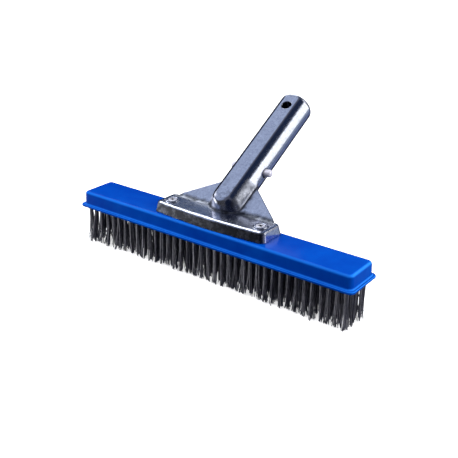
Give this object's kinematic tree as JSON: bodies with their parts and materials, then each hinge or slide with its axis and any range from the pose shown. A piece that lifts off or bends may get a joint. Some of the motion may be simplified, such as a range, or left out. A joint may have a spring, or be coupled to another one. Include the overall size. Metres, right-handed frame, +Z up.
{
  "type": "pool wall brush",
  "caption": "Pool wall brush: plastic block with rows of steel wire tufts and a cast handle that takes a pole with a spring clip.",
  "frame": {"origin": "centre of the brushing face, in the plane of the wire tips", "axes": "+X along the block, +Y towards the side that the handle leans to, +Z up, away from the wire tips"},
  "size_m": [0.267, 0.1409, 0.128],
  "materials": {
    "blue_plastic": "glossy moulded",
    "bristle_wire": "drawn wire, dull",
    "anchor_wire": "galvanised",
    "cast_aluminium": "polished die casting",
    "screw_steel": "bright",
    "spring_steel": "bright rolled strip",
    "button_steel": "bright turned"
  },
  "bodies": {
    "brush": {"brush_block": "blue_plastic", "tuft_row_1": "bristle_wire", "tuft_row_2": "bristle_wire", "tuft_row_3": "bristle_wire", "tuft_row_4": "bristle_wire", "tuft_row_5": "bristle_wire", "anchor_row_1": "anchor_wire", "anchor_row_2": "anchor_wire", "anchor_row_3": "anchor_wire", "anchor_row_4": "anchor_wire", "anchor_row_5": "anchor_wire", "handle_casting": "cast_aluminium", "plate_screw_left": "screw_steel", "plate_screw_right": "screw_steel", "clip_bend": "spring_steel"},
    "left_arm": {"clip_arm_left": "spring_steel", "clip_button_left": "button_steel"},
    "right_arm": {"clip_arm_right": "spring_steel", "clip_button_right": "button_steel"}
  },
  "joints": [
    {"name": "press_left_button", "type": "hinge", "parent": "brush", "child": "left_arm", "pos_m": [0, 0.1033, 0.11007], "axis": [0, -0.515, 0.8572], "range_deg": [0, 5], "stiffness_Nm_per_rad": 1, "springref_deg": -5.73},
    {"name": "press_right_button", "type": "hinge", "parent": "brush", "child": "right_arm", "pos_m": [0, 0.1033, 0.11007], "axis": [0, 0.515, -0.8572], "range_deg": [0, 5], "stiffness_Nm_per_rad": 1, "springref_deg": -5.73}
  ]
}
